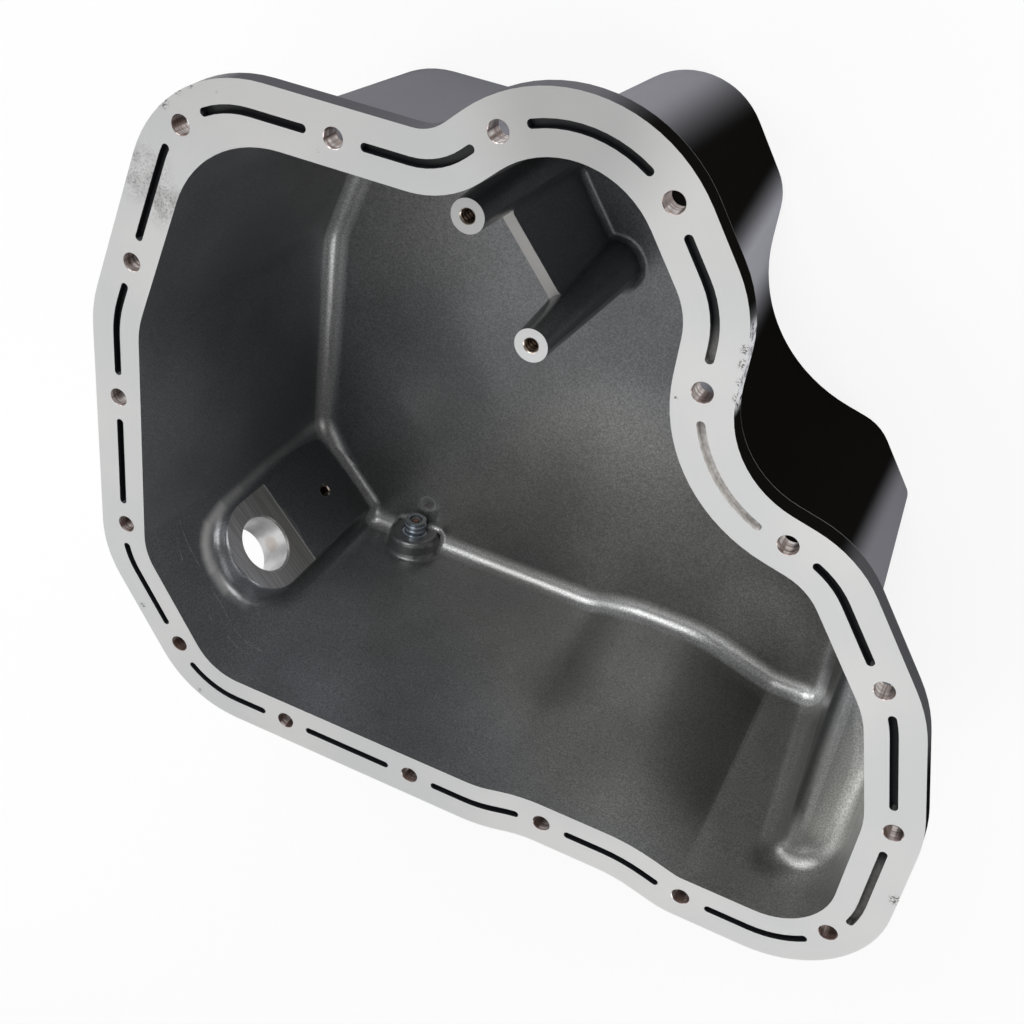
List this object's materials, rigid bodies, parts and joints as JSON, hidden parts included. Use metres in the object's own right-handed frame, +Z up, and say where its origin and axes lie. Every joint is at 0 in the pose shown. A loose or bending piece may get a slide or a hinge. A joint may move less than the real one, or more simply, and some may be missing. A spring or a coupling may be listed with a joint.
{
  "type": "engine oil pan",
  "caption": "Deep cast-aluminium engine oil pan with a lobed, bolted flange, sealant grooves, threaded pillars, a level-sensor bore and a magnetic drain plug.",
  "frame": {"origin": "centre of the bounding box in plan, on the flat outer floor", "axes": "+Z up, out of the open side and normal to the milled flange; +X along the longest extent, towards the shallow shelf side; -Y towards the drain plug"},
  "size_m": [0.3416, 0.3032, 0.13],
  "materials": {
    "cast_aluminium": "as-cast satin, milled sealing face",
    "zinc_steel": "bright zinc plating",
    "magnet": "dull, slightly rusty",
    "washer": "plain soft aluminium"
  },
  "bodies": {
    "root": {"pan_casting": "cast_aluminium", "drain_plug": "zinc_steel", "plug_magnet": "magnet", "plug_washer": "washer"}
  },
  "joints": []
}
